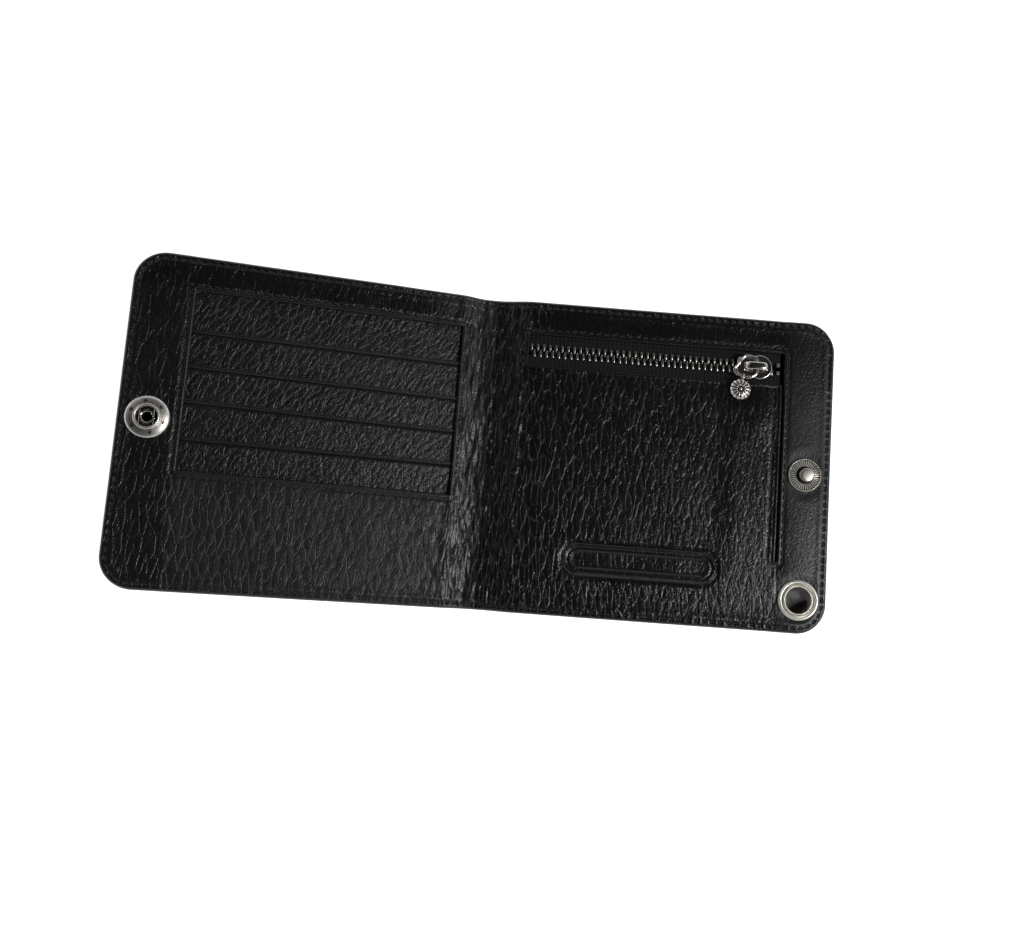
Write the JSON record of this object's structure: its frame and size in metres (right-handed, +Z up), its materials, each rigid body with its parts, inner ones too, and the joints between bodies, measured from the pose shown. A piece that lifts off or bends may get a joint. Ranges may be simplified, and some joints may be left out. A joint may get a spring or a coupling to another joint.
{
  "type": "chain wallet",
  "caption": "Bifold leather chain wallet lying open: card pockets, zipped coin pocket with side slit, snap fastener and an eyelet for a chain.",
  "frame": {"origin": "middle of the open wallet's outline, on the surface it lies on", "axes": "+X across the leaves towards the right leaf with the coin pocket, +Y up the creases towards the open top edge, +Z up out of the wallet's inside"},
  "size_m": [0.2274, 0.104, 0.0305],
  "materials": {
    "black_leather": "pebbled, semi-gloss",
    "black_lining": "fine woven lining",
    "zip_tape": "woven tape",
    "black_thread": "waxed thread",
    "zip_metal": "antique nickel, satin",
    "antique_nickel": "antique nickel, polished edges"
  },
  "bodies": {
    "right_leaf": {"right_cover": "black_leather", "right_cover_lining": "black_lining", "right_bill_lining": "black_lining", "right_facing": "black_leather", "coin_bag": "black_lining", "zip_tape_upper": "zip_tape", "zip_tape_lower": "zip_tape", "zip_teeth_upper": "zip_metal", "zip_teeth_lower": "zip_metal", "zip_top_stops": "zip_metal", "zip_bottom_stop": "zip_metal", "slit_bar_tack": "black_thread", "snap_stud": "antique_nickel", "stud_cap": "antique_nickel", "chain_eyelet": "antique_nickel", "eyelet_washer": "antique_nickel"},
    "spine": {"spine_cover": "black_leather", "spine_cover_lining": "black_lining", "spine_bill_lining": "black_lining", "spine_facing": "black_leather"},
    "left_leaf": {"left_cover": "black_leather", "left_cover_lining": "black_lining", "left_bill_lining": "black_lining", "left_facing": "black_leather", "card_backing": "black_leather", "card_pocket_1": "black_leather", "card_pocket_2": "black_leather", "card_pocket_3": "black_leather", "card_pocket_4": "black_leather", "snap_socket": "antique_nickel", "socket_spring": "antique_nickel", "socket_cap": "antique_nickel"},
    "zip_slider": {"slider_upper_wing": "antique_nickel", "slider_lower_wing": "antique_nickel", "slider_crown": "antique_nickel"},
    "pull": {"zip_pull": "antique_nickel"},
    "charm": {"charm_ring": "antique_nickel", "charm": "antique_nickel"}
  },
  "joints": [
    {"name": "right_crease", "type": "hinge", "parent": "right_leaf", "child": "spine", "pos_m": [0.00497, 0, 0.0025], "axis": [0, 1, 0], "range_deg": [0, 90]},
    {"name": "left_crease", "type": "hinge", "parent": "spine", "child": "left_leaf", "pos_m": [-0.00703, 0, 0.0025], "axis": [0, 1, 0], "range_deg": [-12, 78]},
    {"name": "zip_slide", "type": "slide", "parent": "right_leaf", "child": "zip_slider", "axis": [-1, 0, 0], "range_m": [0, 0.069]},
    {"name": "pull_lift", "type": "hinge", "parent": "zip_slider", "child": "pull", "pos_m": [0.08697, 0.0352, 0.00845], "axis": [0, -1, 0], "range_deg": [-150, 0]},
    {"name": "charm_swing", "type": "hinge", "parent": "pull", "child": "charm", "pos_m": [0.08217, 0.03133, 0.00845], "axis": [0, 0, 1], "range_deg": [-20, 12]}
  ]
}
